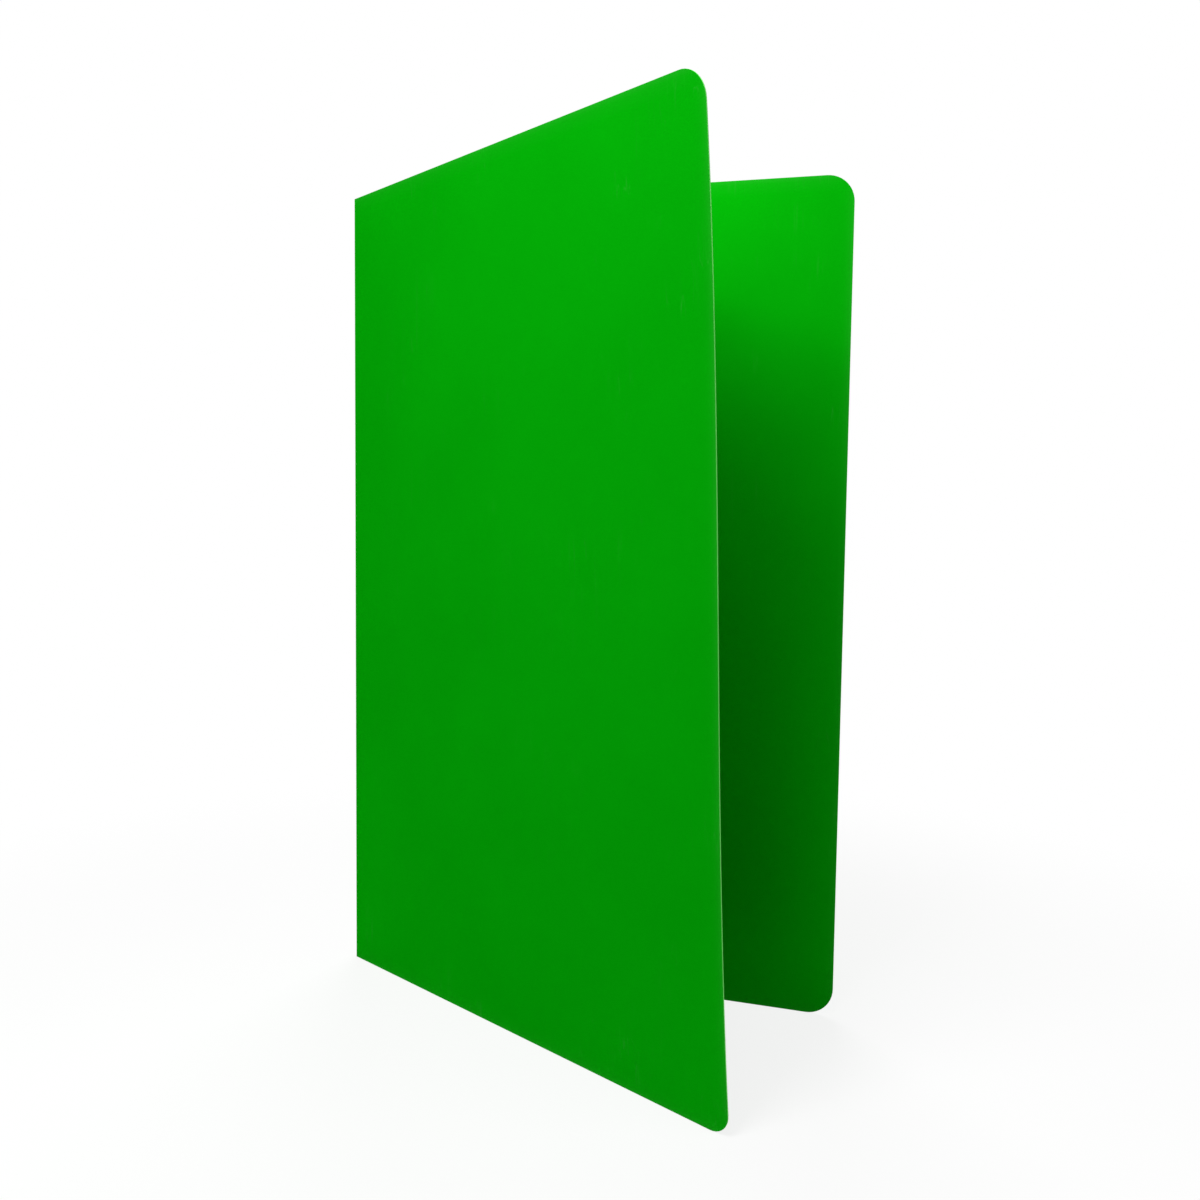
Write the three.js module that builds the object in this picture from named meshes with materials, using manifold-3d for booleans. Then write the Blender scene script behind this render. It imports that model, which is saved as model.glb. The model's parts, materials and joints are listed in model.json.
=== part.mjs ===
// A legal-size fastener folder: one scored polypropylene sheet that stands on its bottom edges, partly open,
// with a two-prong steel fastener inside its back cover. The front cover is sprung a little wider open at its
// top than at its foot. Millimetres, +Z up. The origin is on the floor, under the middle of the folder.
import * as THREE from 'three';
import { mergeVertices } from 'three/addons/utils/BufferGeometryUtils.js';
import Module from 'manifold-3d';

// The sheet: two covers and the spine panel between them
const coverWidth = 235;
const coverHeight = 372;
const sheetThickness = 0.5;
const cornerRadius = 12;
const spineWidth = 10;
const openingAngle = 29.8;
const coverTwist = 5.14;

// The scores, where the sheet is pressed thin enough to bend
const scoreWidth = 2;
const webThickness = 0.25;
const webGap = 0.3;

// The strip that holds the fastener against the back cover
const stripEnd = 40;
const stripWidth = 22;
const stripSheet = 0.45;
const stripCornerRadius = 4;
const pocketCornerRadius = 2;
const seatGap = 0.2;

// The fastener
const prongLine = 27;
const prongSpacing = 70;
const prongWidth = 4.5;
const prongLength = 21.5;
const steelThickness = 0.35;
const baseWidth = 8;
const bendClearance = 0.3;
const slotClearance = 0.5;

// The compressor bar: a tray with a flange along each side
const barEnd = 14;
const barWidth = 10.4;
const barFloorWidth = 6.6;
const barSheet = 0.4;
const trayDepth = 0.8;
const barHoleLength = 2.6;

// The slide locks, each a sleeve round the bar's two flanges
const lockLength = 8;
const lockSheet = 0.3;
const lockLip = 1.2;
const lockClearance = 0.12;
const lockSpacing = 2.4;
const lockRidgeHeight = 0.6;
const lockRidgeWidth = 1.2;

const wasm = await Module();
wasm.setup();

// A closed geometry as a solid that can be joined and cut
function solidOf(geometry) {
  const bare = geometry.index ? geometry.toNonIndexed() : geometry.clone();
  bare.deleteAttribute('normal');
  bare.deleteAttribute('uv');
  const merged = mergeVertices(bare, 1e-5);
  return new wasm.Manifold(new wasm.Mesh({
    numProp: 3,
    vertProperties: new Float32Array(merged.attributes.position.array),
    triVerts: new Uint32Array(merged.index.array),
  }));
}

function geometryOf(solid) {
  const mesh = solid.getMesh();
  const geometry = new THREE.BufferGeometry();
  geometry.setAttribute('position', new THREE.BufferAttribute(mesh.vertProperties, 3));
  geometry.setIndex(new THREE.BufferAttribute(mesh.triVerts, 1));
  return geometry;
}

function box(x0, x1, y0, y1, z0, z1) {
  const geometry = new THREE.BoxGeometry(x1 - x0, y1 - y0, z1 - z0);
  geometry.translate((x0 + x1) / 2, (y0 + y1) / 2, (z0 + z1) / 2);
  return geometry;
}

function extruded(outline, depth, curveSegments = 8) {
  return new THREE.ExtrudeGeometry(outline, { depth, bevelEnabled: false, curveSegments });
}

function outlineThrough(points) {
  return new THREE.Shape(points.map(([x, y]) => new THREE.Vector2(x, y)));
}

// A rectangle centred on the origin with its corners rounded
function roundedRectangle(length, width, radius) {
  const x = length / 2;
  const y = width / 2;
  const r = Math.min(radius, x, y);
  const outline = new THREE.Shape();
  outline.moveTo(-x + r, -y);
  outline.lineTo(x - r, -y);
  outline.absarc(x - r, -y + r, r, -Math.PI / 2, 0, false);
  outline.lineTo(x, y - r);
  outline.absarc(x - r, y - r, r, 0, Math.PI / 2, false);
  outline.lineTo(-x + r, y);
  outline.absarc(-x + r, y - r, r, Math.PI / 2, Math.PI, false);
  outline.lineTo(-x, -y + r);
  outline.absarc(-x + r, -y + r, r, Math.PI, Math.PI * 1.5, false);
  return outline;
}

// Finishes
function finish(color, roughness, metalness) {
  return new THREE.MeshStandardMaterial({ color, roughness, metalness });
}
const greenSheet = () => finish(0x08a012, 0.42, 0);
const greenStrip = () => finish(0x0b8a16, 0.5, 0);
const tinnedSteel = () => finish(0xc4c6c8, 0.3, 0.9);
const pressedSteel = () => finish(0xb4b7ba, 0.35, 0.9);

function part(name, geometry, material, parent) {
  const mesh = new THREE.Mesh(geometry, material);
  mesh.name = name;
  parent.add(mesh);
  return mesh;
}

// Places. The back cover lies along X with the folder's inside on its -Y side. The spine panel stands square
// to it, and the front cover swings out from the spine's other edge. Its opening angle is its angle half way
// up, and its twist is what that angle gains from the foot to the top.
const opening = THREE.MathUtils.degToRad(openingAngle);
const twist = THREE.MathUtils.degToRad(coverTwist);
const halfSheet = sheetThickness / 2;
const openingAt = (z) => opening + twist * (z / coverHeight - 0.5);

// Heights up a cover, each with the cover's reach there: the steps of the two round corners, and even steps
// between them
const cornerSteps = 12;
const heightSteps = 24;
function coverLevels() {
  const foot = [];
  for (let i = 0; i <= cornerSteps; i += 1) {
    const turn = (Math.PI / 2) * (i / cornerSteps);
    foot.push([cornerRadius * (1 - Math.cos(turn)), coverWidth - cornerRadius * (1 - Math.sin(turn))]);
  }
  const middle = [];
  for (let i = 1; i < heightSteps; i += 1) {
    middle.push([cornerRadius + (coverHeight - 2 * cornerRadius) * (i / heightSteps), coverWidth]);
  }
  const top = foot.map(([z, reach]) => [coverHeight - z, reach]).reverse();
  return [...foot, ...middle, ...top];
}

const frontDepths = coverLevels().map(([z, reach]) => {
  const angle = openingAt(z);
  return reach * Math.sin(angle) + halfSheet * Math.cos(angle);
});
const footprintLength = coverWidth + halfSheet;
const footprintDepth = halfSheet + spineWidth + Math.max(...frontDepths);
const backHingeX = halfSheet - footprintLength / 2;
const backHingeY = footprintDepth / 2 - halfSheet;

const folder = new THREE.Group();

// Each panel's group has its origin on a hinge axis, +X across the panel and +Z up
const backPanel = new THREE.Group();
backPanel.position.set(backHingeX, backHingeY, 0);
folder.add(backPanel);

const frontPanel = new THREE.Group();
frontPanel.position.set(backHingeX, backHingeY - spineWidth, 0);
frontPanel.rotation.z = -opening;
folder.add(frontPanel);

// The sheet stops short of each hinge axis, where the thin web of the score takes over
const panelStart = scoreWidth / 2 + webGap / 2;
const webEnd = scoreWidth / 2 - webGap / 2;

// A cover, from its score to its free edge. The lean is its turn about the hinge axis at a height. Both faces
// are split along the same diagonals, so that the sheet keeps its thickness where it twists.
function coverGeometry(lean) {
  const levels = coverLevels();
  const positions = [];
  for (const [z, reach] of levels) {
    const cos = Math.cos(lean(z));
    const sin = Math.sin(lean(z));
    const section = [
      [panelStart, -halfSheet], [reach, -halfSheet], [reach, halfSheet], [panelStart, halfSheet],
    ];
    for (const [u, n] of section) {
      positions.push(u * cos - n * sin, u * sin + n * cos, z);
    }
  }
  const index = [0, 2, 1, 0, 3, 2];
  for (let low = 0; low < 4 * (levels.length - 1); low += 4) {
    const high = low + 4;
    index.push(low, low + 1, high + 1, low, high + 1, high);
    index.push(low + 1, low + 2, high + 2, low + 1, high + 2, high + 1);
    index.push(low + 2, low + 3, high + 2, low + 3, high + 3, high + 2);
    index.push(low + 3, low, high, low + 3, high, high + 3);
  }
  const top = 4 * (levels.length - 1);
  index.push(top, top + 1, top + 2, top, top + 2, top + 3);
  const geometry = new THREE.BufferGeometry();
  geometry.setAttribute('position', new THREE.Float32BufferAttribute(positions, 3));
  geometry.setIndex(index);
  return geometry;
}

part('front_cover', coverGeometry((z) => opening - openingAt(z)), greenSheet(), frontPanel);
part('back_cover', coverGeometry(() => 0), greenSheet(), backPanel);

// The spine panel, between the two scores
const spine = box(
  backHingeX - halfSheet, backHingeX + halfSheet,
  backHingeY - spineWidth + panelStart, backHingeY - panelStart,
  0, coverHeight,
);
part('spine_panel', spine, greenSheet(), folder);

// The thin web of a score, bent from the panel that leaves the hinge axis along one direction to the panel
// that leaves it along the other. Its arc is tangent to both.
function webGeometry(fromAngle, toAngle) {
  const half = (toAngle - fromAngle) / 2;
  const radius = webEnd * Math.tan(half);
  const toCentre = webEnd / Math.cos(half);
  const middle = (fromAngle + toAngle) / 2;
  const centreX = toCentre * Math.cos(middle);
  const centreY = toCentre * Math.sin(middle);
  const start = fromAngle - Math.PI / 2;
  const end = toAngle + Math.PI / 2 - Math.PI * 2;
  const outline = new THREE.Shape();
  outline.absarc(centreX, centreY, radius + webThickness / 2, start, end, true);
  outline.absarc(centreX, centreY, radius - webThickness / 2, end, start, false);
  return extruded(outline, coverHeight, 8);
}

const backWeb = part('back_hinge_web', webGeometry(-Math.PI / 2, 0), greenSheet(), folder);
backWeb.position.set(backHingeX, backHingeY, 0);
const frontWeb = part('front_hinge_web', webGeometry(-opening, Math.PI / 2), greenSheet(), folder);
frontWeb.position.set(backHingeX, backHingeY - spineWidth, 0);

// The fastener's group lies on the inside of the back cover, midway up: +X is up the folder, +Y towards the
// spine and +Z out of the cover, so that heights above the cover are Z.
const fastener = new THREE.Group();
const along = new THREE.Vector3(0, 0, 1);
const across = new THREE.Vector3(-1, 0, 0);
const outward = new THREE.Vector3(0, -1, 0);
fastener.quaternion.setFromRotationMatrix(new THREE.Matrix4().makeBasis(along, across, outward));
fastener.position.set(prongLine, -halfSheet, coverHeight / 2);
backPanel.add(fastener);

// The strip and the bar both run on past the prongs
const prongAt = prongSpacing / 2;
const stripLength = prongSpacing + 2 * stripEnd;
const barLength = prongSpacing + 2 * barEnd;
const sides = [['upper', 1], ['lower', -1]];

// Heights above the back cover's inside, from the cover outwards
const stripBottom = seatGap;
const baseBottom = seatGap;
const baseTop = baseBottom + steelThickness;
const pocketTop = baseTop + seatGap;
const stripTop = pocketTop + stripSheet;
const barBottom = stripTop + seatGap;
const trayFloor = barBottom + barSheet;
const flangeBottom = barBottom + trayDepth;
const flangeTop = flangeBottom + barSheet;
const prongBottom = trayFloor + seatGap;
const prongAxis = prongBottom + steelThickness / 2;
const riserTop = prongAxis - steelThickness / 2 - bendClearance;

// The strip, formed up over the fastener's base, with a slot for each prong
function stripGeometry() {
  const pocketX = prongAt + steelThickness / 2 + slotClearance;
  const pocketY = baseWidth / 2 + slotClearance;
  const flat = extruded(roundedRectangle(stripLength, stripWidth, stripCornerRadius), stripSheet);
  flat.translate(0, 0, stripBottom);
  const raisedOutline = roundedRectangle(
    2 * (pocketX + stripSheet), 2 * (pocketY + stripSheet), pocketCornerRadius,
  );
  const raised = extruded(raisedOutline, stripTop - stripBottom);
  raised.translate(0, 0, stripBottom);
  const pocket = box(-pocketX, pocketX, -pocketY, pocketY, 0, pocketTop);
  let strip = solidOf(flat).add(solidOf(raised)).subtract(solidOf(pocket));
  for (const [, side] of sides) {
    const x = side * prongAt;
    const halfX = steelThickness / 2 + slotClearance;
    const halfY = prongWidth / 2 + slotClearance;
    strip = strip.subtract(solidOf(box(x - halfX, x + halfX, -halfY, halfY, 0, stripTop + seatGap)));
  }
  return geometryOf(strip);
}
part('fastener_strip', stripGeometry(), greenStrip(), fastener);

// The fastener's base, with the short upright root of each prong
function baseGeometry() {
  const halfLength = prongAt + steelThickness / 2;
  let base = solidOf(box(-halfLength, halfLength, -baseWidth / 2, baseWidth / 2, baseBottom, baseTop));
  for (const [, side] of sides) {
    const x = side * prongAt;
    const half = steelThickness / 2;
    const root = box(x - half, x + half, -prongWidth / 2, prongWidth / 2, baseBottom, riserTop);
    base = base.add(solidOf(root));
  }
  return geometryOf(base);
}
part('prong_base', baseGeometry(), tinnedSteel(), fastener);

// A prong, folded inwards along the bar. Its origin is on the line that it bends about.
function prongGeometry(side) {
  const tip = prongWidth / 2;
  const outline = new THREE.Shape();
  outline.moveTo(0, -prongWidth / 2);
  outline.lineTo(prongLength - tip, -prongWidth / 2);
  outline.absarc(prongLength - tip, 0, tip, -Math.PI / 2, Math.PI / 2, false);
  outline.lineTo(0, prongWidth / 2);
  const geometry = extruded(outline, steelThickness);
  geometry.translate(0, 0, -steelThickness / 2);
  if (side > 0) geometry.rotateZ(Math.PI);
  return geometry;
}
for (const [end, side] of sides) {
  const prong = part(`${end}_prong`, prongGeometry(side), tinnedSteel(), fastener);
  prong.position.set(side * prongAt, 0, prongAxis);
}

// The compressor bar: a pressed tray with round ends, its flanges raised clear of the strip
function barGeometry() {
  const floor = barFloorWidth / 2;
  const slope = floor + trayDepth;
  const edge = barWidth / 2;
  const profile = outlineThrough([
    [-edge, flangeBottom], [-slope, flangeBottom], [-floor, barBottom], [floor, barBottom],
    [slope, flangeBottom], [edge, flangeBottom], [edge, flangeTop], [slope - barSheet / 2, flangeTop],
    [floor - barSheet / 2, trayFloor], [barSheet / 2 - floor, trayFloor], [barSheet / 2 - slope, flangeTop],
    [-edge, flangeTop],
  ]);
  const tray = extruded(profile, barLength);
  tray.translate(0, 0, -barLength / 2);
  tray.applyMatrix4(new THREE.Matrix4().makeBasis(
    new THREE.Vector3(0, 1, 0), new THREE.Vector3(0, 0, 1), new THREE.Vector3(1, 0, 0),
  ));
  const roundEnds = extruded(roundedRectangle(barLength, barWidth, barWidth / 2), flangeTop + barSheet);
  let bar = solidOf(tray).intersect(solidOf(roundEnds));
  for (const [, side] of sides) {
    const x = side * prongAt;
    const halfX = barHoleLength / 2;
    const halfY = prongWidth / 2 + slotClearance;
    bar = bar.subtract(solidOf(box(x - halfX, x + halfX, -halfY, halfY, 0, flangeTop)));
  }
  return geometryOf(bar);
}
part('compressor_bar', barGeometry(), pressedSteel(), fastener);

// A slide lock: a plate over the prongs whose sides wrap round the bar's flanges, with a ridge for the thumb.
// Its origin is midway along it.
function lockGeometry() {
  const innerY = barWidth / 2 + lockClearance;
  const outerY = innerY + lockSheet;
  const lipY = outerY - lockSheet - lockLip;
  const lipTop = flangeBottom - lockClearance;
  const lipBottom = lipTop - lockSheet;
  const plateBottom = flangeTop + lockClearance;
  const plateTop = plateBottom + lockSheet;
  const profile = outlineThrough([
    [-lipY, lipBottom], [-lipY, lipTop], [-innerY, lipTop], [-innerY, plateBottom],
    [innerY, plateBottom], [innerY, lipTop], [lipY, lipTop], [lipY, lipBottom],
    [outerY, lipBottom], [outerY, plateTop], [-outerY, plateTop], [-outerY, lipBottom],
  ]);
  const sleeve = extruded(profile, lockLength);
  sleeve.translate(0, 0, -lockLength / 2);
  sleeve.applyMatrix4(new THREE.Matrix4().makeBasis(
    new THREE.Vector3(0, 1, 0), new THREE.Vector3(0, 0, 1), new THREE.Vector3(1, 0, 0),
  ));
  const ridgeX = lockRidgeWidth / 2;
  const ridgeY = barFloorWidth / 2;
  const ridgeBottom = plateBottom + lockSheet / 2;
  const ridge = box(-ridgeX, ridgeX, -ridgeY, ridgeY, ridgeBottom, plateTop + lockRidgeHeight);
  return geometryOf(solidOf(sleeve).add(solidOf(ridge)));
}
for (const [end, side] of sides) {
  const lock = part(`${end}_slide_lock`, lockGeometry(), pressedSteel(), fastener);
  lock.position.x = side * (lockLength + lockSpacing) / 2;
}

export default folder;
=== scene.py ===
import json
import math

import bmesh
import bpy
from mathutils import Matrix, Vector


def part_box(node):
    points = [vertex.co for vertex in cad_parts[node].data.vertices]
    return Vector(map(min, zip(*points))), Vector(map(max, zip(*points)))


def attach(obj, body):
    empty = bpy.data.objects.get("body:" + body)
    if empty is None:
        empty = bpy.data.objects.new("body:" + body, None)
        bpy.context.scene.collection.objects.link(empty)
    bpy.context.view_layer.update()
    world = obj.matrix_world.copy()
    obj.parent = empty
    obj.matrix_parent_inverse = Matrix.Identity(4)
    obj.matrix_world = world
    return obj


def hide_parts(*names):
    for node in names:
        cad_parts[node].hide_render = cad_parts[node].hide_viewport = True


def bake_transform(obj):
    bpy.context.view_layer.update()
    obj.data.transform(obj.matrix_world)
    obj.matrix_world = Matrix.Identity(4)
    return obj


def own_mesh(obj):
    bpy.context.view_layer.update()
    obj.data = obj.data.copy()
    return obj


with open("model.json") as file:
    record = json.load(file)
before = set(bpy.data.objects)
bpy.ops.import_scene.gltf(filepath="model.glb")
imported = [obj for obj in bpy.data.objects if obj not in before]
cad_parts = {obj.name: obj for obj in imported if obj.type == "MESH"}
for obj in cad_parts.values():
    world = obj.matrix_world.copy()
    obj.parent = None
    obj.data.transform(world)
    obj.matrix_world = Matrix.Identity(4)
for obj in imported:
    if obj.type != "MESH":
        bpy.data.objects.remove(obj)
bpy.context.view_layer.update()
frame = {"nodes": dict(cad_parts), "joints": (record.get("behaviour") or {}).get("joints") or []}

# Front cover. The folder's sheet is one die-cut piece of pigmented polypropylene, scored twice. This is
# its outer panel, with two round corners and a satin finish. Its foot drags on the table, so its top
# springs wider open.
mm = 0.001
joints = {joint["name"]: joint for joint in frame["joints"]}
front_hinge = Vector(joints["front_hinge"]["pos_m"])
back_hinge = Vector(joints["back_hinge"]["pos_m"])
opening = math.radians(90 - joints["front_hinge"]["range_deg"][1])
back_low, back_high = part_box("back_cover")
cover_width = back_high.x - back_hinge.x
cover_height = back_high.z - back_low.z
sheet_thickness = back_high.y - back_low.y
panel_start = back_low.x - back_hinge.x
corner_radius = 12 * mm
front_foot_radius = 9 * mm
cut_edge_rounding = 0.09 * mm
cut_edge_turn = math.radians(65)
rounding_steps = 2
grid_step = 5 * mm
end_row_height = 2.2 * mm
corner_steps = 12
rim_width = 1.5 * mm
front_flare = math.radians(2.57)
front_ripple = math.radians(0.25)


def placed(origin, angle, side):
    """Gives points of a panel: u across it from its hinge axis, n out of its inner face, z up."""
    across = Vector((math.cos(angle), math.sin(angle), 0))
    inward = Vector((-math.sin(angle), math.cos(angle), 0)) * side
    foot = Vector((origin.x, origin.y, 0))

    def point(u, n, z):
        return foot + across * u + inward * n + Vector((0, 0, z))

    return point


def spread(stops, step):
    """Positions from the first stop to the last, through every stop, at most a step apart."""
    positions = [stops[0]]
    for start, end in zip(stops, stops[1:]):
        count = max(1, math.ceil((end - start) / step))
        positions += [start + (end - start) * i / count for i in range(1, count + 1)]
    return positions


def finished_mesh(name, bm):
    """The mesh that bm holds, under that name."""
    mesh = bpy.data.meshes.new(name)
    bm.to_mesh(mesh)
    bm.free()
    return mesh


def grid_mesh(name, columns, rows, place, near_edge=None, is_hole=None):
    """A mesh of columns by rows points. near_edge gives each point's closeness to a cut edge. is_hole
    says which faces are left out."""
    bm = bmesh.new()
    layer = bm.verts.layers.float.new("near_edge")
    grid = [[bm.verts.new(place(i, j)) for j in range(rows)] for i in range(columns)]
    for i in range(columns - 1):
        for j in range(rows - 1):
            if is_hole is None or not is_hole(i, j):
                bm.faces.new((grid[i][j], grid[i + 1][j], grid[i + 1][j + 1], grid[i][j + 1]))
    if near_edge:
        for i in range(columns):
            for j in range(rows):
                grid[i][j][layer] = near_edge(i, j)
    for vert in [vert for vert in bm.verts if not vert.link_faces]:
        bm.verts.remove(vert)
    for face in bm.faces:
        face.smooth = True
    return finished_mesh(name, bm)


def new_object(name, data):
    """A new object, in the scene."""
    added = bpy.data.objects.new(name, data)
    bpy.context.scene.collection.objects.link(added)
    return added


def sheet_piece(name, mesh, thickness, offset, materials, rounding):
    """An object of that mesh, thickened, with its cut edges rounded. The edges that turn by more than
    cut_edge_turn are the cut ones. A second material is theirs."""
    piece = new_object(name, mesh)
    for material in materials:
        mesh.materials.append(material)
    solid = piece.modifiers.new("thickness", "SOLIDIFY")
    solid.thickness = thickness
    solid.offset = offset
    solid.use_even_offset = True
    solid.material_offset_rim = len(materials) - 1
    edges = piece.modifiers.new("cut edges", "BEVEL")
    edges.width = rounding
    edges.segments = rounding_steps
    edges.angle_limit = cut_edge_turn
    edges.harden_normals = True
    return piece


def corner_inset(u, radius):
    """How far a round corner has drawn the edge in, at that distance from the hinge axis."""
    beyond = max(0.0, u - (cover_width - radius))
    return radius - math.sqrt(max(0.0, radius ** 2 - beyond ** 2))


def cover_mesh(name, point, bent, foot_radius):
    """A cover from its score to its free edge. bent gives a point's turn about its hinge, inwards, from
    its place across, u, and its place up, v, from -1 at the foot to 1 at the top."""
    corner_start = cover_width - corner_radius
    columns = spread([panel_start, corner_start], grid_step)
    for i in range(1, corner_steps + 1):
        columns.append(corner_start + corner_radius * math.sin(math.pi / 2 * i / corner_steps))
    levels = spread([0.0, end_row_height, cover_height - end_row_height, cover_height], grid_step)

    def sheet_point(i, j):
        foot = corner_inset(columns[i], foot_radius)
        top = cover_height - corner_inset(columns[i], corner_radius)
        return columns[i], foot + (top - foot) * levels[j] / cover_height

    def place(i, j):
        u, z = sheet_point(i, j)
        turn = bent(u, 2 * z / cover_height - 1)
        return point(u * math.cos(turn), u * math.sin(turn), z)

    def near_edge(i, j):
        u, z = sheet_point(i, j)
        return math.exp(-min(cover_width - u, z, cover_height - z) / rim_width)

    return grid_mesh(name, len(columns), len(levels), place, near_edge)


def front_turn(u, v):
    """The front cover opens wider towards its top, with a slight ripple on the way."""
    return -front_flare * v - front_ripple * (4 * v ** 3 - 3 * v)


def add_node(tree, kind, inputs=None, **settings):
    """A node with its settings, and its inputs set to values or linked to sockets."""
    node = tree.nodes.new(kind)
    for name, value in settings.items():
        setattr(node, name, value)
    for socket, value in (inputs or {}).items():
        if isinstance(value, bpy.types.NodeSocket):
            tree.links.new(value, node.inputs[socket])
        else:
            node.inputs[socket].default_value = value
    return node


def new_group(name, inputs, outputs):
    """An empty node group with those sockets, and its input node."""
    tree = bpy.data.node_groups.new(name, "ShaderNodeTree")
    for socket, kind, default in inputs:
        item = tree.interface.new_socket(socket, in_out="INPUT", socket_type=kind)
        if default is not None:
            item.default_value = default
    for socket, kind in outputs:
        tree.interface.new_socket(socket, in_out="OUTPUT", socket_type=kind)
    return tree, tree.nodes.new("NodeGroupInput")


def satin_grain_group():
    """What the rollers leave on the sheet: a fine grain, faint drawn lines and cloudy pigment."""
    lines_per_metre = (900.0, 900.0, 9.0)
    line_share = 0.25
    clouds_per_metre = 16.0
    speckle_share = 0.25
    darkest = 0.35
    lightest = 0.9
    tree, given = new_group(
        "satin_grain",
        [("Vector", "NodeSocketVector", None), ("Grains per metre", "NodeSocketFloat", 2200.0)],
        [("Height", "NodeSocketFloat"), ("Tone", "NodeSocketFloat")],
    )
    vector = given.outputs["Vector"]
    grain = add_node(tree, "ShaderNodeTexNoise", {
        "Vector": vector, "Scale": given.outputs["Grains per metre"], "Detail": 3.0, "Roughness": 0.6})
    stretched = add_node(tree, "ShaderNodeMapping", {"Vector": vector, "Scale": lines_per_metre})
    lines = add_node(tree, "ShaderNodeTexNoise", {
        "Vector": stretched.outputs["Vector"], "Scale": 1.0, "Detail": 2.0})
    clouds = add_node(tree, "ShaderNodeTexNoise", {
        "Vector": vector, "Scale": clouds_per_metre, "Detail": 4.0, "Roughness": 0.55})
    height = add_node(tree, "ShaderNodeMath", {
        0: lines.outputs["Fac"], 1: line_share, 2: grain.outputs["Fac"]}, operation="MULTIPLY_ADD")
    speckled = add_node(tree, "ShaderNodeMath", {
        0: grain.outputs["Fac"], 1: speckle_share, 2: clouds.outputs["Fac"]}, operation="MULTIPLY_ADD")
    tone = add_node(tree, "ShaderNodeMapRange", {
        "Value": speckled.outputs["Value"], "From Min": darkest, "From Max": lightest})
    add_node(tree, "NodeGroupOutput", {
        "Height": height.outputs["Value"], "Tone": tone.outputs["Result"]})
    return tree


def handling_marks_group():
    """Long upright hairlines in patches, from sliding in and out of a drawer."""
    lean = (math.radians(3), math.radians(-4), 0)
    stretch = (1.0, 1.0, 0.01)
    wave_middle = 0.5
    half_hairline = 0.007
    patches_per_metre = 28.0
    patch_edge = 0.52
    patch_middle = 0.72
    tree, given = new_group(
        "handling_marks",
        [("Vector", "NodeSocketVector", None), ("Marks per metre", "NodeSocketFloat", 260.0)],
        [("Mask", "NodeSocketFloat")],
    )
    vector = given.outputs["Vector"]
    upright = add_node(tree, "ShaderNodeMapping", {"Vector": vector, "Rotation": lean, "Scale": stretch})
    waves = add_node(tree, "ShaderNodeTexNoise", {
        "Vector": upright.outputs["Vector"], "Scale": given.outputs["Marks per metre"], "Detail": 2.0})
    off_line = add_node(tree, "ShaderNodeMath", {
        0: waves.outputs["Fac"], 1: wave_middle}, operation="SUBTRACT")
    distance = add_node(tree, "ShaderNodeMath", {0: off_line.outputs["Value"]}, operation="ABSOLUTE")
    hairline = add_node(tree, "ShaderNodeMapRange", {
        "Value": distance.outputs["Value"], "From Max": half_hairline, "To Min": 1.0, "To Max": 0.0})
    patches = add_node(tree, "ShaderNodeTexNoise", {
        "Vector": vector, "Scale": patches_per_metre, "Detail": 2.0})
    patch = add_node(tree, "ShaderNodeMapRange", {
        "Value": patches.outputs["Fac"], "From Min": patch_edge, "From Max": patch_middle})
    mask = add_node(tree, "ShaderNodeMath", {
        0: hairline.outputs["Result"], 1: patch.outputs["Result"]}, operation="MULTIPLY")
    add_node(tree, "NodeGroupOutput", {"Mask": mask.outputs["Value"]})
    return tree


gloss_colour = (0.03, 0.9, 0.06)
worn_white = 0.75
worn_share = 0.35
glossier = 0.03
duller = 0.05
grain_strength = 0.35
satin_grain = satin_grain_group()
handling_marks = handling_marks_group()


def polypropylene(name, colour, light_colour, roughness, grains, grain_height,
                  edge_light=0.0, marks=0.06, sheen=0.14):
    """Pigmented polypropylene: two tones of the pigment, a satin grain, and hairlines from handling. It
    pales along the hairlines and towards a cut edge. Its gloss takes the pigment's colour, so it is a
    small metallic share with a green edge."""
    material = bpy.data.materials.new(name)
    material.use_nodes = True
    tree = material.node_tree
    shader = tree.nodes["Principled BSDF"]
    place = add_node(tree, "ShaderNodeTexCoord").outputs["Object"]
    grain = add_node(tree, "ShaderNodeGroup", {
        "Vector": place, "Grains per metre": grains}, node_tree=satin_grain)
    scratches = add_node(tree, "ShaderNodeGroup", {"Vector": place}, node_tree=handling_marks)
    pigment = add_node(tree, "ShaderNodeMix", {
        "Factor": grain.outputs["Tone"], 6: (*colour, 1), 7: (*light_colour, 1)}, data_type="RGBA")
    edge = add_node(tree, "ShaderNodeAttribute", attribute_name="near_edge")
    whitening = add_node(tree, "ShaderNodeMath", {
        0: edge.outputs["Fac"], 1: edge_light}, operation="MULTIPLY")
    worn = add_node(tree, "ShaderNodeMath", {
        0: scratches.outputs["Mask"], 1: marks, 2: whitening.outputs["Value"]}, operation="MULTIPLY_ADD")
    pale = tuple(part + (worn_white - part) * worn_share for part in light_colour)
    surface = add_node(tree, "ShaderNodeMix", {
        "Factor": worn.outputs["Value"], 6: pigment.outputs[2], 7: (*pale, 1)}, data_type="RGBA")
    tree.links.new(surface.outputs[2], shader.inputs["Base Color"])
    rough = add_node(tree, "ShaderNodeMapRange", {
        "Value": grain.outputs["Tone"], "To Min": roughness - glossier, "To Max": roughness + duller})
    tree.links.new(rough.outputs["Result"], shader.inputs["Roughness"])
    bump = add_node(tree, "ShaderNodeBump", {
        "Height": grain.outputs["Height"], "Strength": grain_strength, "Distance": grain_height})
    tree.links.new(bump.outputs["Normal"], shader.inputs["Normal"])
    shader.inputs["Specular IOR Level"].default_value = 0.0
    shader.inputs["Metallic"].default_value = sheen
    shader.inputs["Specular Tint"].default_value = (*gloss_colour, 1)
    return material


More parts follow.
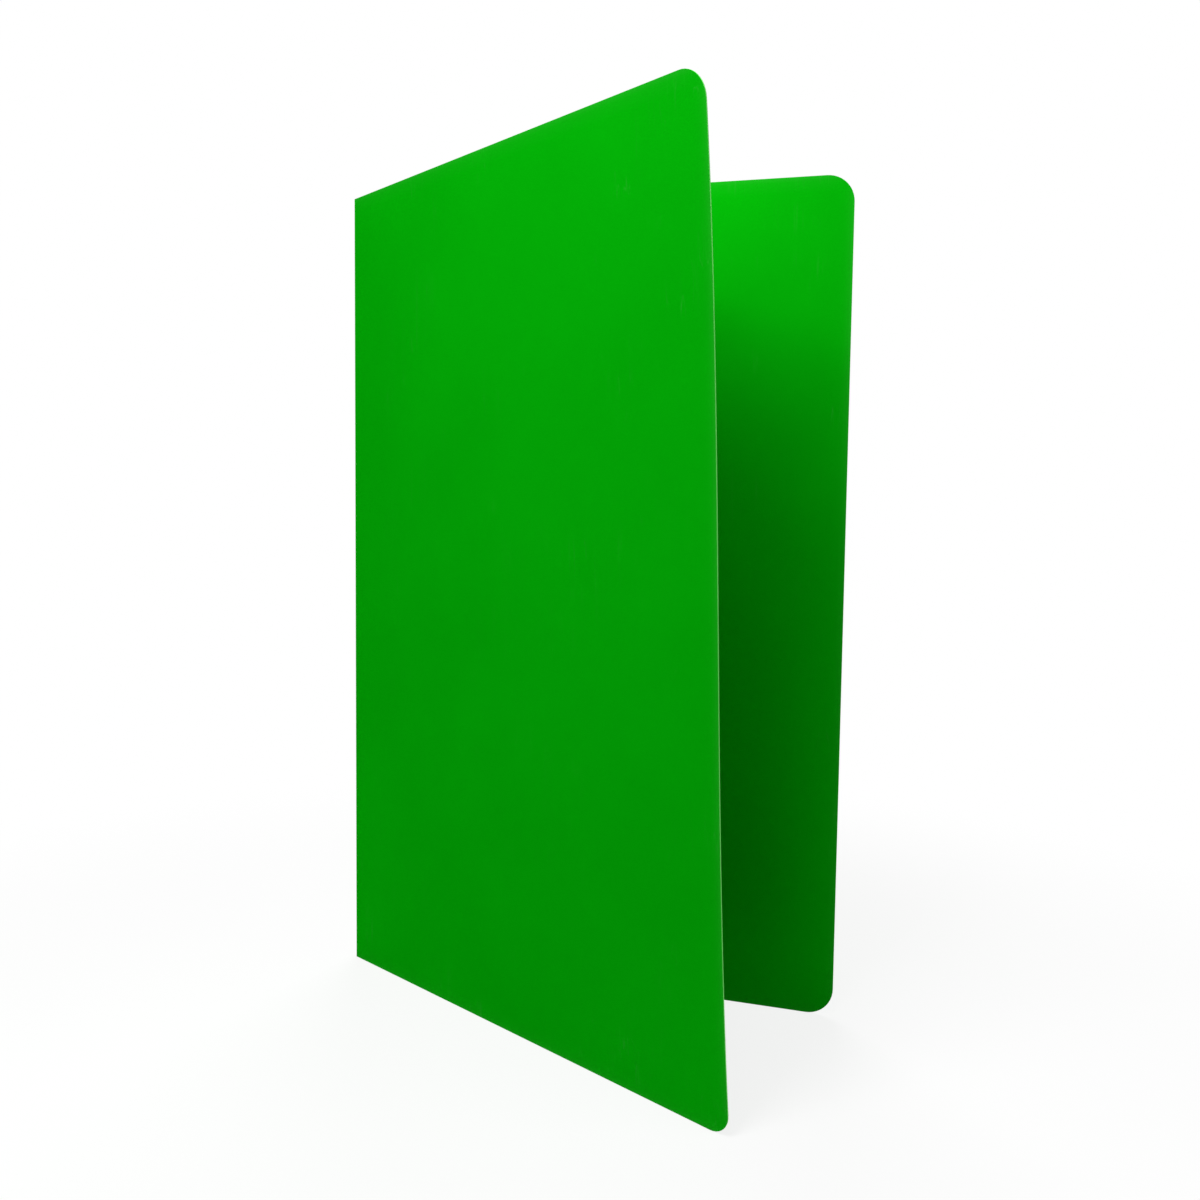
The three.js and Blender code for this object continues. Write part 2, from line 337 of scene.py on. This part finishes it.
sheet_finish = polypropylene(
    "green_sheet", colour=(0.0008, 0.305, 0.0015), light_colour=(0.0012, 0.335, 0.002), roughness=0.36,
    grains=2200.0, grain_height=0.02 * mm, edge_light=0.03, marks=0.05)
# The cut edges' pale green is partly the plastic's own cut face and partly a painted highlight. It is
# made pale so that the thin edge shows as a bright line against the shade between the covers.
cut_edge_and_painted_highlight = polypropylene(
    "cut_edge", colour=(0.13, 0.62, 0.11), light_colour=(0.22, 0.76, 0.18), roughness=0.55,
    grains=5000.0, grain_height=0.05 * mm, marks=0.1, sheen=0.05)

front_point = placed(front_hinge, -opening, 1)
front_cover = sheet_piece(
    "front_cover_sheet", cover_mesh("front_cover_sheet", front_point, front_turn, front_foot_radius),
    sheet_thickness, 0.0, [sheet_finish, cut_edge_and_painted_highlight], cut_edge_rounding)
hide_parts("front_cover")
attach(front_cover, "front")
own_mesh(front_cover)

# Back cover. The other outer panel of the same die-cut sheet, with the full radius at both corners. The
# fastener's strip stiffens it near the spine, so only the part past the strip springs, outwards at the
# top and inwards at the foot.
back_flare = math.radians(0.986)
stiff_width = 42 * mm
spring_power = 1.25


def back_turn(u, v):
    """The part past the strip curves, more and more, to its full flare at the free edge."""
    free = max(0.0, (u - stiff_width) / (cover_width - stiff_width))
    return -back_flare * v * free ** spring_power * cover_width / max(u, panel_start)


back_point = placed(back_hinge, 0.0, -1)
back_cover = sheet_piece(
    "back_cover_sheet", cover_mesh("back_cover_sheet", back_point, back_turn, corner_radius),
    sheet_thickness, 0.0, [sheet_finish, cut_edge_and_painted_highlight], cut_edge_rounding)
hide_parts("back_cover")
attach(back_cover, "back")
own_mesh(back_cover)

# Spine. The narrow panel between the two scores, of the same sheet and cut with the covers in one piece.
# Only the two scores hold it, and it stays flat when they bend.
spine_width = back_hinge.y - front_hinge.y
spine_step = 1 * mm
spine_point = placed(front_hinge, math.pi / 2, -1)
spine_columns = spread([panel_start, spine_width - panel_start], spine_step)
spine_rows = spread([0.0, cover_height], grid_step)


def spine_place(i, j):
    return spine_point(spine_columns[i], 0.0, spine_rows[j])


spine = sheet_piece(
    "spine_sheet", grid_mesh("spine_sheet", len(spine_columns), len(spine_rows), spine_place),
    sheet_thickness, 0.0, [sheet_finish, cut_edge_and_painted_highlight], cut_edge_rounding)
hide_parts("spine_panel")
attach(spine, "spine")

# Scores. A heated rule presses the sheet to half its thickness along two lines, with a low bead pushed
# up on each side, and the thin web left between bends there for years. Bending makes the green a little
# paler.
groove_depth = 0.12 * mm
groove_spread = 0.2
bead_height = 0.045 * mm
bead_spread = 0.06
bead_places = (0.16, 0.84)
score_steps = 28
score_finish = polypropylene(
    "green_score", colour=(0.006, 0.33, 0.006), light_colour=(0.014, 0.40, 0.013), roughness=0.30,
    grains=2600.0, grain_height=0.02 * mm, marks=0.12)


def score_mesh(name, hinge, from_angle, to_angle):
    """The web between two panels that leave the hinge axis at those angles, as a closed bent strip. The
    places and spreads of its groove and beads are shares of its arc."""
    half = (to_angle - from_angle) / 2
    radius = panel_start * math.tan(half)
    reach = panel_start / math.cos(half)
    middle = from_angle + half
    centre = Vector((hinge.x + reach * math.cos(middle), hinge.y + reach * math.sin(middle), 0))
    sweep = math.pi - 2 * half
    levels = spread([0.0, cover_height], grid_step)

    def section(k):
        """Points round the section: the outer face from end to end, then the inner face back."""
        outer = k <= score_steps
        share = (k if outer else 2 * score_steps + 1 - k) / score_steps
        groove = groove_depth * math.exp(-((share - 0.5) / groove_spread) ** 2)
        beads = bead_height * sum(math.exp(-((share - at) / bead_spread) ** 2) for at in bead_places)
        height = sheet_thickness / 2 - groove + beads
        angle = from_angle - math.pi / 2 - sweep * share
        distance = radius + (height if outer else -height)
        return centre + Vector((math.cos(angle), math.sin(angle), 0)) * distance

    bm = bmesh.new()
    count = 2 * score_steps + 2
    rings = [[bm.verts.new(section(k) + Vector((0, 0, z))) for k in range(count)] for z in levels]
    for low, high in zip(rings, rings[1:]):
        for k in range(count):
            bm.faces.new((low[k], low[(k + 1) % count], high[(k + 1) % count], high[k]))
    for end in (rings[0], rings[-1]):
        bm.faces.new(end).material_index = 1
    bmesh.ops.recalc_face_normals(bm, faces=bm.faces)
    for face in bm.faces:
        face.smooth = len(face.verts) == 4
    mesh = finished_mesh(name, bm)
    mesh.materials.append(score_finish)
    mesh.materials.append(cut_edge_and_painted_highlight)
    return mesh


def score_piece(name, node, hinge, from_angle, to_angle):
    """A score that joins the spine to a panel, in place of the web in the part file."""
    piece = new_object(name, score_mesh(name, hinge, from_angle, to_angle))
    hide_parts(node)
    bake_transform(piece)


score_piece("back_score", "back_hinge_web", back_hinge, -math.pi / 2, 0.0)
score_piece("front_score", "front_hinge_web", front_hinge, -opening, math.pi / 2)

# Fastener strip. A thinner strip of the same plastic, formed up over the fastener's base and spot
# welded to the inside of the back cover along both long edges. Each prong comes up through a slot in it.
strip_low, strip_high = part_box("fastener_strip")
base_low, base_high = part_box("prong_base")
inner_face = back_hinge.y - sheet_thickness / 2
prong_line = (strip_low.x + strip_high.x) / 2
middle_height = cover_height / 2
strip_length = strip_high.z - strip_low.z
strip_width = strip_high.x - strip_low.x
strip_thickness = 0.45 * mm
strip_flat_top = inner_face - strip_high.y + strip_thickness
strip_raised_top = inner_face - strip_low.y
strip_corner = 4 * mm
strip_rounding = 0.06 * mm
raised_margin = 1.9 * mm
raised_length = base_high.z - base_low.z + raised_margin
raised_width = base_high.x - base_low.x + raised_margin
shoulder = 1.4 * mm
prong_spacing = 70 * mm
prong_width = 4.5 * mm
prong_play = 1 * mm
slot_length = 1.35 * mm
slot_width = prong_width + prong_play
weld_spacing = 8 * mm
weld_line = 8 * mm
weld_radius = 1.5 * mm
weld_slope = 0.45 * weld_radius
weld_depth = 0.16 * mm
weld_bead = 0.05 * mm
weld_bead_radius = 1.25 * weld_radius
weld_bead_spread = 0.2 * weld_radius
strip_step = 0.42 * mm


def fastener_point(along, across, height):
    """A point off the back cover's inside: along is up from mid-height, across is towards the spine."""
    return Vector((prong_line - across, inner_face - height, middle_height + along))


def smooth_step(t):
    """Rises from 0 at 0 to 1 at 1, level at both ends."""
    t = min(1.0, max(0.0, t))
    return t * t * (3 - 2 * t)


def half_width_at(along, half_length, half_width, corner):
    """Half the width of a plate with round corners, at that distance along it from its middle."""
    beyond = max(0.0, abs(along) - (half_length - corner))
    return half_width - corner + math.sqrt(max(0.0, corner ** 2 - beyond ** 2))


def pressed_plate(name, columns, rows, half_width, height, holes, bow=None):
    """The top face of a pressed plate, with a height at every point and rectangular holes. rows holds the
    places across it where it is widest, and they close up where it narrows. bow shifts the points of a
    column along the plate."""

    def spot(i, j):
        along = columns[i]
        across = rows[j] / rows[-1] * half_width(along)
        return along + (bow(along, across) if bow else 0.0), across

    def place(i, j):
        along, across = spot(i, j)
        return fastener_point(along, across, height(along, across))

    def is_hole(i, j):
        low, high = spot(i, j), spot(i + 1, j + 1)
        along, across = (low[0] + high[0]) / 2, (low[1] + high[1]) / 2
        return any(abs(along - at) < length / 2 and abs(across) < width / 2
                   for at, length, width in holes)

    return grid_mesh(name, len(columns), len(rows), place, is_hole=is_hole)


def strip_height(along, across):
    """The strip's top: raised over the base, with a row of spot welds along each long edge. Each weld is
    a dent with a bead round it."""
    outside = max(abs(along) - raised_length / 2, abs(across) - raised_width / 2)
    raised = smooth_step(0.5 - outside / shoulder)
    nearest = round((along - weld_spacing / 2) / weld_spacing) * weld_spacing + weld_spacing / 2
    if abs(nearest) > strip_length / 2 - 2 * weld_radius:
        nearest = math.copysign(abs(nearest) - weld_spacing, nearest)
    from_weld = math.hypot(along - nearest, abs(across) - weld_line)
    dent = weld_depth * smooth_step((weld_radius - from_weld) / weld_slope)
    bead = weld_bead * math.exp(-((from_weld - weld_bead_radius) / weld_bead_spread) ** 2)
    return strip_flat_top + (strip_raised_top - strip_flat_top) * raised - dent + bead


strip_finish = polypropylene(
    "green_strip", colour=(0.002, 0.25, 0.004), light_colour=(0.004, 0.29, 0.006), roughness=0.32,
    grains=3000.0, grain_height=0.012 * mm)
half_strip = strip_length / 2
slot_edges = [prong_spacing / 2 - slot_length / 2, prong_spacing / 2 + slot_length / 2]
strip_columns = spread(
    [-half_strip, *(-edge for edge in reversed(slot_edges)), *slot_edges, half_strip], strip_step)
strip_rows = spread([-strip_width / 2, -slot_width / 2, slot_width / 2, strip_width / 2], strip_step)
prongs = [("upper", 1), ("lower", -1)]
slots = [(side * prong_spacing / 2, slot_length, slot_width) for name, side in prongs]


def strip_half_width(along):
    return half_width_at(along, half_strip, strip_width / 2, strip_corner)


strip = sheet_piece(
    "welded_strip",
    pressed_plate("welded_strip", strip_columns, strip_rows, strip_half_width, strip_height, slots),
    strip_thickness, -1.0, [strip_finish, cut_edge_and_painted_highlight], strip_rounding)
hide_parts("fastener_strip")
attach(strip, "back")

# Prongs. The fastener is one strip of tinned steel. Its base lies under the welded strip, and its two
# ends come up and are bent over the papers by hand. Each end has a round tip and a low pressed rib.
steel_thickness = 0.35 * mm
prong_length = 21.5 * mm
bend_axis = inner_face - joints["upper_prong_bend"]["pos_m"][1]
riser_top = inner_face - base_low.y
bend_radius = bend_axis - riser_top
rib_height = 0.11 * mm
rib_half_width = 0.75 * mm
rib_start = 2.5 * mm
rib_to_tip = 3 * mm
rib_slope = 2 * mm
blade_rounding = 0.07 * mm
root_rounding = 0.05 * mm
steel_step = 0.3 * mm
blade_rows = 17
root_rows = 5
root_steps = 8
last_column = math.cos(math.pi / 4)


def rolled_metal_group():
    """Bright rolled steel: fine lines along the strip and a patchy shine."""
    stretch = (1.0, 1.0, 0.02)
    patches_per_metre = 240.0
    line_share = 0.6
    dullest = 0.55
    brightest = 1.05
    tree, given = new_group(
        "rolled_metal",
        [("Vector", "NodeSocketVector", None), ("Lines per metre", "NodeSocketFloat", 4000.0)],
        [("Height", "NodeSocketFloat"), ("Tone", "NodeSocketFloat")],
    )
    vector = given.outputs["Vector"]
    drawn = add_node(tree, "ShaderNodeMapping", {"Vector": vector, "Scale": stretch})
    lines = add_node(tree, "ShaderNodeTexNoise", {
        "Vector": drawn.outputs["Vector"], "Scale": given.outputs["Lines per metre"], "Detail": 3.0})
    patches = add_node(tree, "ShaderNodeTexNoise", {
        "Vector": vector, "Scale": patches_per_metre, "Detail": 4.0})
    tone = add_node(tree, "ShaderNodeMath", {
        0: lines.outputs["Fac"], 1: line_share, 2: patches.outputs["Fac"]}, operation="MULTIPLY_ADD")
    spread_tone = add_node(tree, "ShaderNodeMapRange", {
        "Value": tone.outputs["Value"], "From Min": dullest, "From Max": brightest})
    add_node(tree, "NodeGroupOutput", {
        "Height": lines.outputs["Fac"], "Tone": spread_tone.outputs["Result"]})
    return tree


bare_metal = (0.9, 0.9, 0.88)
steel_marks_per_metre = 400.0
worn_dull = 0.08
worn_bright = 0.05
line_strength = 0.15
line_height = 0.01 * mm
rolled_metal = rolled_metal_group()


def bright_steel(name, dark, light, roughness, lines, marks):
    """Plated or bare bright steel with its rolling lines, patches of duller plating and hairlines."""
    material = bpy.data.materials.new(name)
    material.use_nodes = True
    tree = material.node_tree
    shader = tree.nodes["Principled BSDF"]
    place = add_node(tree, "ShaderNodeTexCoord").outputs["Object"]
    rolled = add_node(tree, "ShaderNodeGroup", {
        "Vector": place, "Lines per metre": lines}, node_tree=rolled_metal)
    scratches = add_node(tree, "ShaderNodeGroup", {
        "Vector": place, "Marks per metre": steel_marks_per_metre}, node_tree=handling_marks)
    plating = add_node(tree, "ShaderNodeMix", {
        "Factor": rolled.outputs["Tone"], 6: (*dark, 1), 7: (*light, 1)}, data_type="RGBA")
    scratched = add_node(tree, "ShaderNodeMath", {
        0: scratches.outputs["Mask"], 1: marks}, operation="MULTIPLY")
    surface = add_node(tree, "ShaderNodeMix", {
        "Factor": scratched.outputs["Value"], 6: plating.outputs[2],
        7: (*bare_metal, 1)}, data_type="RGBA")
    tree.links.new(surface.outputs[2], shader.inputs["Base Color"])
    rough = add_node(tree, "ShaderNodeMapRange", {
        "Value": rolled.outputs["Tone"], "To Min": roughness + worn_dull,
        "To Max": roughness - worn_bright})
    tree.links.new(rough.outputs["Result"], shader.inputs["Roughness"])
    bump = add_node(tree, "ShaderNodeBump", {
        "Height": rolled.outputs["Height"], "Strength": line_strength, "Distance": line_height})
    tree.links.new(bump.outputs["Normal"], shader.inputs["Normal"])
    shader.inputs["Metallic"].default_value = 1.0
    return material


tinned_steel = bright_steel(
    "tinned_steel", dark=(0.50, 0.51, 0.52), light=(0.68, 0.68, 0.67), roughness=0.30,
    lines=4000.0, marks=0.5)


def end_bow(beyond, across, radius):
    """Bows a column that is past the start of a round end. The last one, at the share last_column of the
    end's radius, lies on the round outline."""
    share = max(0.0, beyond) / (radius * last_column)
    return share ** 2 * (math.sqrt(radius ** 2 - across ** 2) - beyond)


def prong_half_width(reach):
    """Half the width of a prong with a round tip, at that distance from its bend."""
    beyond = max(0.0, reach - (prong_length - prong_width / 2))
    return math.sqrt(max(0.0, (prong_width / 2) ** 2 - beyond ** 2))


def prong_top(reach, across):
    """The top of a prong's blade, with a low rib along its middle that runs out at both ends."""
    start = smooth_step((reach - rib_start) / rib_slope)
    end = smooth_step((prong_length - rib_to_tip - reach) / rib_slope)
    rib = rib_height * start * end * math.exp(-(across / rib_half_width) ** 2)
    return bend_axis + steel_thickness / 2 + rib


def prong_mesh(name, side):
    """The top face of a prong's blade, from its bend to its round tip."""
    tip_radius = prong_width / 2
    tip_start = prong_length - tip_radius
    reaches = spread([bend_radius, tip_start, tip_start + tip_radius * last_column], steel_step)

    def place(i, j):
        across = prong_half_width(reaches[i]) * (2 * j / (blade_rows - 1) - 1)
        reach = reaches[i] + end_bow(reaches[i] - tip_start, across, tip_radius)
        along = side * (prong_spacing / 2 - reach)
        return fastener_point(along, -side * across, prong_top(reach, across))

    return grid_mesh(name, len(reaches), blade_rows, place)


def bend_mesh(name, side):
    """The bent root of a prong, from the riser's top to the start of the blade."""

    def place(i, j):
        turn = math.pi / 2 * i / root_steps
        along = side * (prong_spacing / 2 - bend_radius + bend_radius * math.cos(turn))
        height = bend_axis - bend_radius + bend_radius * math.sin(turn)
        return fastener_point(along, side * prong_width * (0.5 - j / (root_rows - 1)), height)

    return grid_mesh(name, root_steps + 1, root_rows, place)


for name, side in prongs:
    prong = sheet_piece(f"{name}_prong_blade", prong_mesh(f"{name}_prong_blade", side),
                        steel_thickness, -1.0, [tinned_steel], blade_rounding)
    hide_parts(f"{name}_prong")
    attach(prong, f"{name}_prong")
    root = sheet_piece(f"{name}_prong_root", bend_mesh(f"{name}_prong_root", side),
                       steel_thickness, 0.0, [tinned_steel], root_rounding)
    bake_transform(root)

base = frame["nodes"]["prong_base"]
base.data.materials.clear()
base.data.materials.append(tinned_steel)

# Compressor bar. A strip of bright steel pressed into a shallow tray, so that its two edges stand clear
# of the papers for the locks to grip. A hole near each end lets a prong through, and a pressed dimple
# stiffens each end.
bar_low, bar_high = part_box("compressor_bar")
bar_length = bar_high.z - bar_low.z
bar_width = bar_high.x - bar_low.x
bar_sheet = 0.4 * mm
bar_rounding = 0.08 * mm
flange_top = inner_face - bar_low.y
tray_depth = 0.8 * mm
tray_floor = flange_top - tray_depth
tray_half_floor = 2.6 * mm
tray_slope = 1.4 * mm
bar_hole_length = 2.6 * mm
bar_hole_width = prong_width + prong_play
dimple_at = 42 * mm
dimple_radius = 1.6 * mm
dimple_slope = 0.8 * dimple_radius
dimple_height = 0.28 * mm
bar_step = 0.4 * mm
bar_across_step = 0.2 * mm
pressed_steel = bright_steel(
    "pressed_steel", dark=(0.42, 0.43, 0.45), light=(0.60, 0.61, 0.62), roughness=0.32,
    lines=3000.0, marks=0.6)


def bar_height(along, across):
    """The bar's top: a flat floor between two raised flanges, with a dimple near each end."""
    flange = smooth_step((abs(across) - tray_half_floor) / tray_slope)
    from_dimple = math.hypot(abs(along) - dimple_at, across)
    dimple = dimple_height * smooth_step((dimple_radius - from_dimple) / dimple_slope)
    return tray_floor + tray_depth * flange + dimple


end_radius = bar_width / 2
round_start = bar_length / 2 - end_radius
hole_edges = [prong_spacing / 2 - bar_hole_length / 2, prong_spacing / 2 + bar_hole_length / 2]
bar_stops = [0.0, *hole_edges, round_start, round_start + end_radius * last_column]
bar_columns = spread([-stop for stop in reversed(bar_stops[1:])] + bar_stops, bar_step)
flange_start = tray_half_floor + tray_slope
floor_rows = spread(
    [-flange_start, -bar_hole_width / 2, bar_hole_width / 2, flange_start], bar_across_step)
bar_rows = [-bar_width / 2, *floor_rows, bar_width / 2]
holes = [(side * prong_spacing / 2, bar_hole_length, bar_hole_width) for name, side in prongs]


def bar_half_width(along):
    return half_width_at(along, bar_length / 2, end_radius, end_radius)


def bar_bow(along, across):
    return math.copysign(end_bow(abs(along) - round_start, across, end_radius), along)


bar = sheet_piece(
    "compressor_tray",
    pressed_plate("compressor_tray", bar_columns, bar_rows, bar_half_width, bar_height, holes, bar_bow),
    bar_sheet, -1.0, [pressed_steel], bar_rounding)
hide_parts("compressor_bar")
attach(bar, "back")

# Slide locks. Two short sleeves of the same steel, folded round the bar's edges, that slide out along
# it over the bent prongs and hold them down. Each has a pressed ridge for a thumbnail.
lock_sheet = 0.3 * mm
lock_lip = 1.2 * mm
lock_corner = 0.42 * mm
lock_corner_steps = 5
lock_rounding = 0.07 * mm
lock_section_step = 0.35 * mm
lock_column_step = 0.2 * mm
level_play = 0.01 * mm
ridge_height = 0.6 * mm
ridge_half_length = 1.6 * mm
ridge_half_width = 3.3 * mm
ridge_steepness = 1.5
ridge_end_slope = 1.1 * mm


def filleted(points, radius, steps):
    """A path through the points, with each right-angled corner turned into an arc."""
    path = [points[0]]
    for before, corner, after in zip(points, points[1:], points[2:]):
        back = (Vector(before) - Vector(corner)).normalized() * radius
        ahead = (Vector(after) - Vector(corner)).normalized() * radius
        centre = Vector(corner) + back + ahead
        for i in range(steps + 1):
            turn = math.pi / 2 * i / steps
            path.append(tuple(centre - ahead * math.cos(turn) - back * math.sin(turn)))
    return path + [points[-1]]


def lock_mesh(name, node):
    """The outside of a sleeve, bent round from lip to lip, with the ridge across its flat top."""
    low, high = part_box(node)
    length = high.z - low.z
    centre = (low.z + high.z) / 2 - middle_height
    edge = (high.x - low.x) / 2
    foot = inner_face - high.y
    top = inner_face - low.y - ridge_height
    lip_end = edge - lock_sheet - lock_lip
    corners = [(lip_end, foot), (edge, foot), (edge, top), (-edge, top), (-edge, foot), (-lip_end, foot)]
    path = filleted(corners, lock_corner, lock_corner_steps)
    section = []
    for (across, height), (next_across, next_height) in zip(path, path[1:]):
        run, rise = next_across - across, next_height - height
        count = max(1, round(math.hypot(run, rise) / lock_section_step))
        section += [(across + run * i / count, height + rise * i / count) for i in range(count)]
    section.append(path[-1])
    columns = spread([-length / 2, -ridge_half_length, ridge_half_length, length / 2], lock_column_step)

    def place(i, j):
        across, height = section[j]
        if height > top - level_play:
            ridge = smooth_step(ridge_steepness * (1 - abs(columns[i]) / ridge_half_length))
            ends = smooth_step((ridge_half_width - abs(across)) / ridge_end_slope)
            height += ridge_height * ridge * ends
        return fastener_point(centre + columns[i], across, height)

    return grid_mesh(name, len(columns), len(section), place)


for name, side in prongs:
    lock = sheet_piece(f"{name}_lock_sleeve", lock_mesh(f"{name}_lock_sleeve", f"{name}_slide_lock"),
                       lock_sheet, 1.0, [pressed_steel], lock_rounding)
    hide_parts(f"{name}_slide_lock")
    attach(lock, f"{name}_lock")

# Camera. It stands in front of the folder's open side, a little above the middle of the covers, and
# sees the front cover's outside and the outer quarter of the back cover's inside.
camera = new_object("camera", bpy.data.cameras.new("camera"))
camera.location = (0.1614, -0.4417, 0.2277)
camera.rotation_euler = [math.radians(angle) for angle in (86.19, -0.70, 16.50)]
camera.data.lens = 34.19
camera.data.shift_x = -0.010
camera.data.shift_y = -0.0167
bpy.context.scene.camera = camera


# Floor. A plain white table top that the folder stands on. The camera sees it almost white, and the
# folder's soft shadow stays on it.
def white_for_camera(tree):
    """1 for what the camera, a gloss or a clear material sees, and 0 for light that falls on things."""
    path = add_node(tree, "ShaderNodeLightPath")
    seen = add_node(tree, "ShaderNodeMath", {
        0: path.outputs["Is Camera Ray"], 1: path.outputs["Is Glossy Ray"]}, operation="MAXIMUM")
    through = add_node(tree, "ShaderNodeMath", {
        0: seen.outputs["Value"], 1: path.outputs["Is Transmission Ray"]}, operation="MAXIMUM")
    return through.outputs["Value"]


floor_half_side = 6.0
shadow_share = 0.15
shadow_reach = 0.2
white_from = 0.5
floor_mesh = bpy.data.meshes.new("floor")
floor_corners = [(x * floor_half_side, y * floor_half_side, 0)
                 for x, y in ((-1, -1), (1, -1), (1, 1), (-1, 1))]
floor_mesh.from_pydata(floor_corners, [], [(0, 1, 2, 3)])
floor = new_object("floor", floor_mesh)
floor_finish = bpy.data.materials.new("floor")
floor_finish.use_nodes = True
floor_tree = floor_finish.node_tree
floor_shader = floor_tree.nodes["Principled BSDF"]
floor_shader.inputs["Base Color"].default_value = (0.9, 0.9, 0.9, 1)
floor_shader.inputs["Roughness"].default_value = 0.9
floor_shader.inputs["Specular IOR Level"].default_value = 0.0
floor_glow = add_node(floor_tree, "ShaderNodeEmission", {"Color": (1, 1, 1, 1), "Strength": 1.0})
floor_place = add_node(floor_tree, "ShaderNodeNewGeometry").outputs["Position"]
from_folder = add_node(floor_tree, "ShaderNodeVectorMath", {0: floor_place}, operation="LENGTH")
glow_share = add_node(floor_tree, "ShaderNodeMapRange", {
    "Value": from_folder.outputs["Value"], "From Min": shadow_reach, "From Max": white_from,
    "To Min": 1 - shadow_share, "To Max": 1.0}, interpolation_type="SMOOTHSTEP")
floor_part = add_node(floor_tree, "ShaderNodeMath", {
    0: white_for_camera(floor_tree), 1: glow_share.outputs["Result"]}, operation="MULTIPLY")
floor_mix = add_node(floor_tree, "ShaderNodeMixShader", {
    0: floor_part.outputs["Value"], 1: floor_shader.outputs["BSDF"], 2: floor_glow.outputs["Emission"]})
floor_tree.links.new(floor_mix.outputs["Shader"], floor_tree.nodes["Material Output"].inputs["Surface"])
floor_mesh.materials.append(floor_finish)

# Light. Four soft square lamps round the folder in a dim white room: two high in front of it, one at
# the open side that reaches in between the covers, and one behind for the back cover and the spine.
world = bpy.data.worlds.new("room")
bpy.context.scene.world = world
world.use_nodes = True
room = world.node_tree
room_light = room.nodes["Background"]
room_light.inputs["Color"].default_value = (1, 1, 1, 1)
room_fill = 0.05
room_strength = add_node(room, "ShaderNodeMapRange", {
    "Value": white_for_camera(room), "To Min": room_fill, "To Max": 1.0})
room.links.new(room_strength.outputs["Result"], room_light.inputs["Strength"])
lamp_aim = Vector((0, 0, cover_height / 2))


def soft_lamp(name, round_angle, rise_angle, distance, size, power):
    """A square lamp that faces the folder's middle. Its angles are round from the front, and up."""
    turn, rise = math.radians(round_angle), math.radians(rise_angle)
    away = Vector((math.sin(turn) * math.cos(rise), -math.cos(turn) * math.cos(rise), math.sin(rise)))
    data = bpy.data.lights.new(name, "AREA")
    data.size = size
    data.energy = power
    lamp = new_object(name, data)
    lamp.location = lamp_aim + away * distance
    lamp.rotation_euler = away.to_track_quat("Z", "Y").to_euler()
    lamp.visible_camera = False


soft_lamp("front_lamp", round_angle=-15, rise_angle=50, distance=0.6, size=0.22, power=2.95)
soft_lamp("top_lamp", round_angle=0, rise_angle=65, distance=0.75, size=0.22, power=2.1)
soft_lamp("inside_lamp", round_angle=80, rise_angle=10, distance=0.9, size=0.5, power=2.3)
soft_lamp("back_lamp", round_angle=195, rise_angle=40, distance=0.9, size=0.5, power=5.0)

bpy.context.scene.view_settings.view_transform = "Standard"
